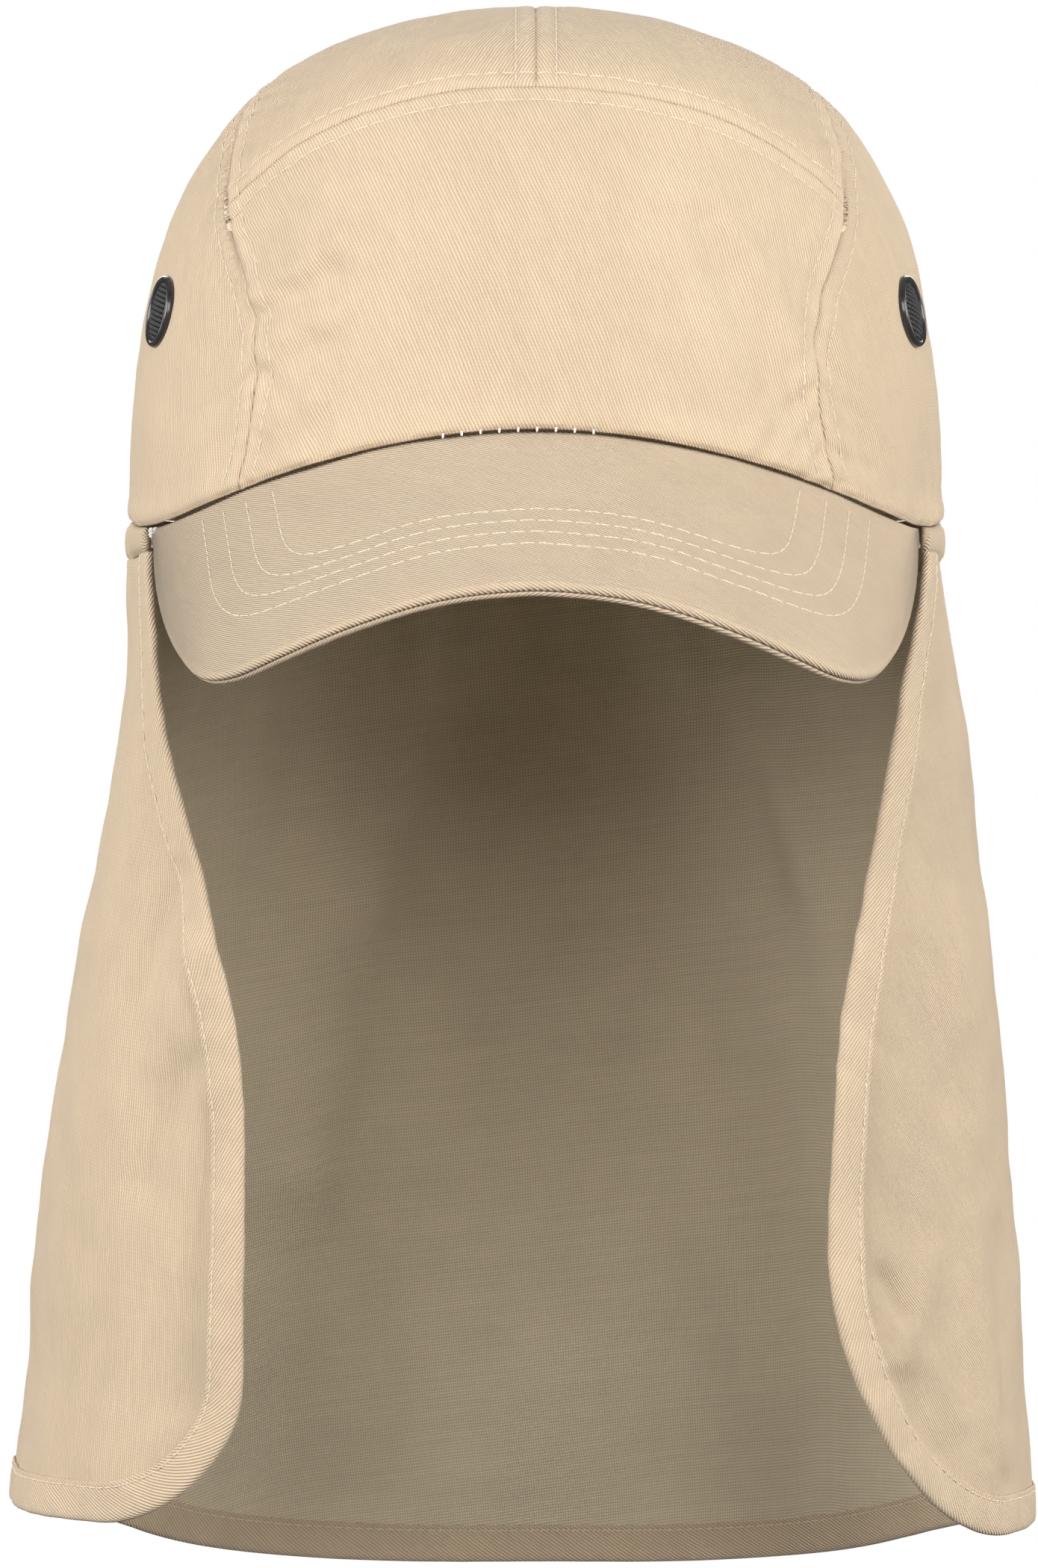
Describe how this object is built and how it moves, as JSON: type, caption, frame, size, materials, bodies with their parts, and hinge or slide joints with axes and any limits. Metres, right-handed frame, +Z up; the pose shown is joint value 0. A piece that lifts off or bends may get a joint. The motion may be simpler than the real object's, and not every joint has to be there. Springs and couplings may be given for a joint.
{
  "type": "legionnaire cap",
  "caption": "Sewn cotton cap with a curved peak, mesh vents in the sides and a bound neck flap that hangs from the gathered back of the rim.",
  "frame": {"origin": "centre of the rim, where the head goes in", "axes": "+Z up through the crown, the peak points along -Y, +X to the right as seen from the front"},
  "size_m": [0.2285, 0.2657, 0.3496],
  "materials": {
    "crown_twill": "matt cotton twill",
    "peak_twill": "matt cotton twill",
    "flap_twill": "matt cotton twill",
    "binding_twill": "matt cotton twill cut on the bias",
    "vent_metal": "glossy black",
    "vent_net": "black woven mesh"
  },
  "bodies": {
    "root": {"front_panel": "crown_twill", "side_panel_left": "crown_twill", "side_panel_right": "crown_twill", "top_panel_left": "crown_twill", "top_panel_right": "crown_twill", "peak_upper": "peak_twill", "peak_under": "peak_twill", "elastic_band": "crown_twill", "neck_flap": "flap_twill", "flap_binding": "binding_twill", "vent_ring_left": "vent_metal", "vent_ring_right": "vent_metal", "vent_mesh_left": "vent_net", "vent_mesh_right": "vent_net"}
  },
  "joints": []
}
